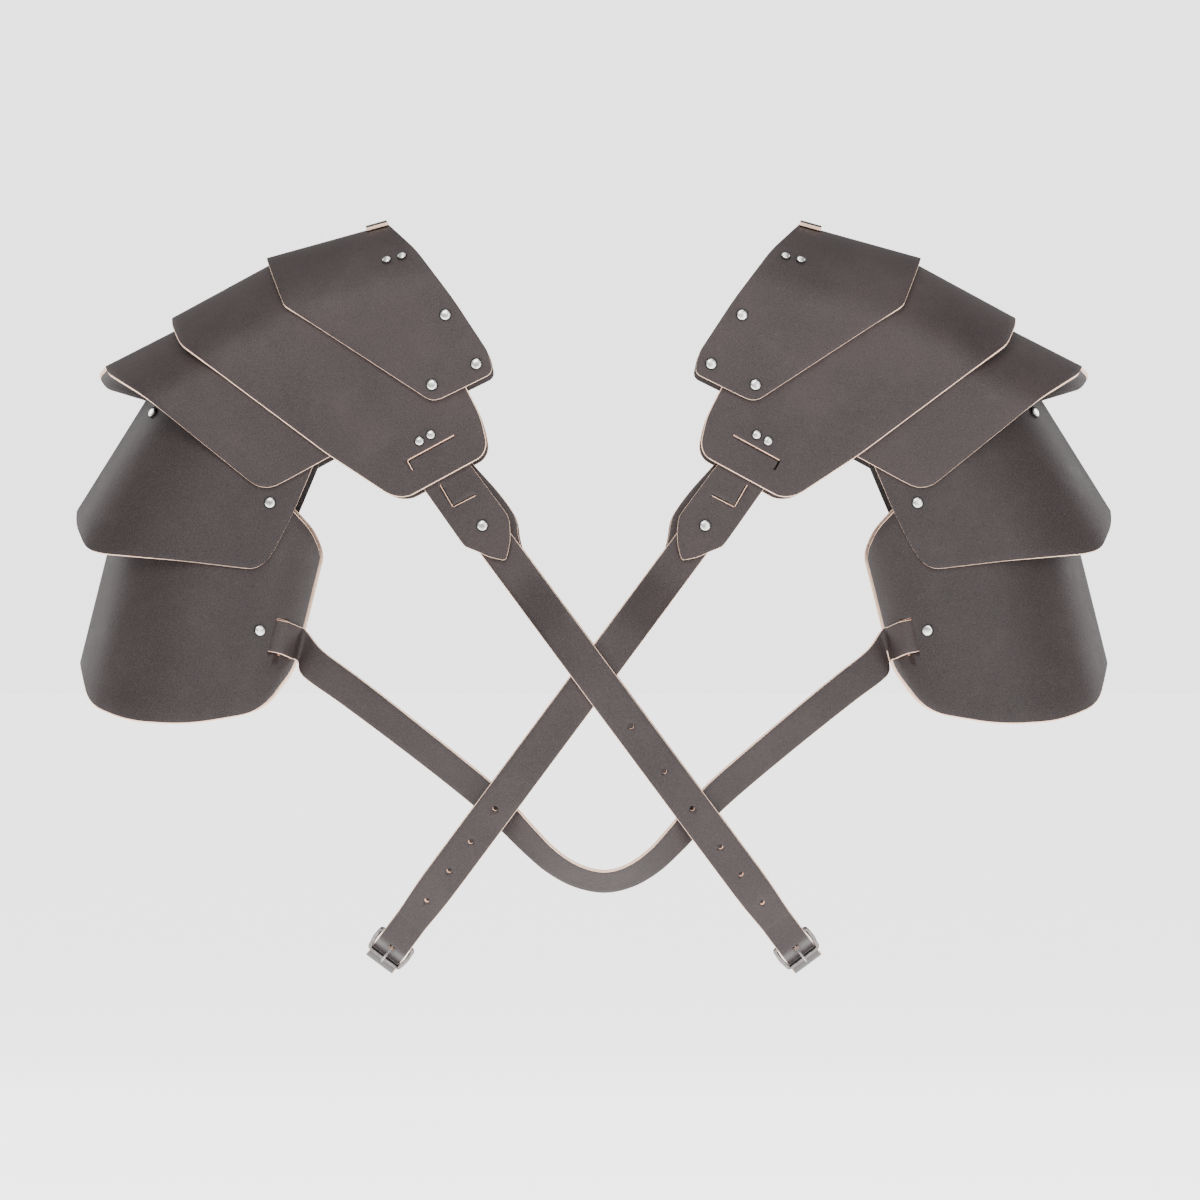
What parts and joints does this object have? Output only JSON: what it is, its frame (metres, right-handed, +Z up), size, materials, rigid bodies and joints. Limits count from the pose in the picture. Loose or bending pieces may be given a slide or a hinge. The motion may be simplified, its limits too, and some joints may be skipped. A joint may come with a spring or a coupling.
{
  "type": "pauldrons",
  "caption": "Pair of layered leather shoulder guards with overlapping plates, crossed belt straps that buckle at the flanks and a slack joining strap.",
  "frame": {"origin": "midway between the two guards, at collar height, where the set rests on the shoulders", "axes": "+X towards the guard on the viewer's right, -Y towards the front, +Z up"},
  "size_m": [0.6976, 0.2342, 0.5085],
  "materials": {
    "leather": "dark brown, softly polished, pale raw edges",
    "rivet_caps": "bright nickel",
    "buckle_steel": "dark polished"
  },
  "bodies": {
    "root": {"joining_strap": "leather", "left_back_strap": "leather", "left_back_tab": "leather", "left_buckle_frame": "buckle_steel", "left_buckle_tongue": "buckle_steel", "left_cap_plate": "leather", "left_chest_strap": "leather", "left_chest_tab": "leather", "left_collar_plate": "leather", "left_hanger": "leather", "left_lower_arm_plate": "leather", "left_neck_patch": "leather", "left_rivet_arms": "rivet_caps", "left_rivet_back_arms": "rivet_caps", "left_rivet_back_hanger": "rivet_caps", "left_rivet_back_pivot": "rivet_caps", "left_rivet_back_tab_point": "rivet_caps", "left_rivet_hanger": "rivet_caps", "left_rivet_joining": "rivet_caps", "left_rivet_neck_lower": "rivet_caps", "left_rivet_neck_upper": "rivet_caps", "left_rivet_pivot": "rivet_caps", "left_rivet_ridge": "rivet_caps", "left_rivet_small_inner": "rivet_caps", "left_rivet_small_outer": "rivet_caps", "left_rivet_tab_inner": "rivet_caps", "left_rivet_tab_outer": "rivet_caps", "left_rivet_tab_point": "rivet_caps", "left_shoulder_plate": "leather", "left_upper_arm_plate": "leather", "right_back_strap": "leather", "right_back_tab": "leather", "right_buckle_frame": "buckle_steel", "right_buckle_tongue": "buckle_steel", "right_cap_plate": "leather", "right_chest_strap": "leather", "right_chest_tab": "leather", "right_collar_plate": "leather", "right_hanger": "leather", "right_lower_arm_plate": "leather", "right_neck_patch": "leather", "right_rivet_arms": "rivet_caps", "right_rivet_back_arms": "rivet_caps", "right_rivet_back_hanger": "rivet_caps", "right_rivet_back_pivot": "rivet_caps", "right_rivet_back_tab_point": "rivet_caps", "right_rivet_hanger": "rivet_caps", "right_rivet_joining": "rivet_caps", "right_rivet_neck_lower": "rivet_caps", "right_rivet_neck_upper": "rivet_caps", "right_rivet_pivot": "rivet_caps", "right_rivet_ridge": "rivet_caps", "right_rivet_small_inner": "rivet_caps", "right_rivet_small_outer": "rivet_caps", "right_rivet_tab_inner": "rivet_caps", "right_rivet_tab_outer": "rivet_caps", "right_rivet_tab_point": "rivet_caps", "right_shoulder_plate": "leather", "right_upper_arm_plate": "leather"}
  },
  "joints": []
}
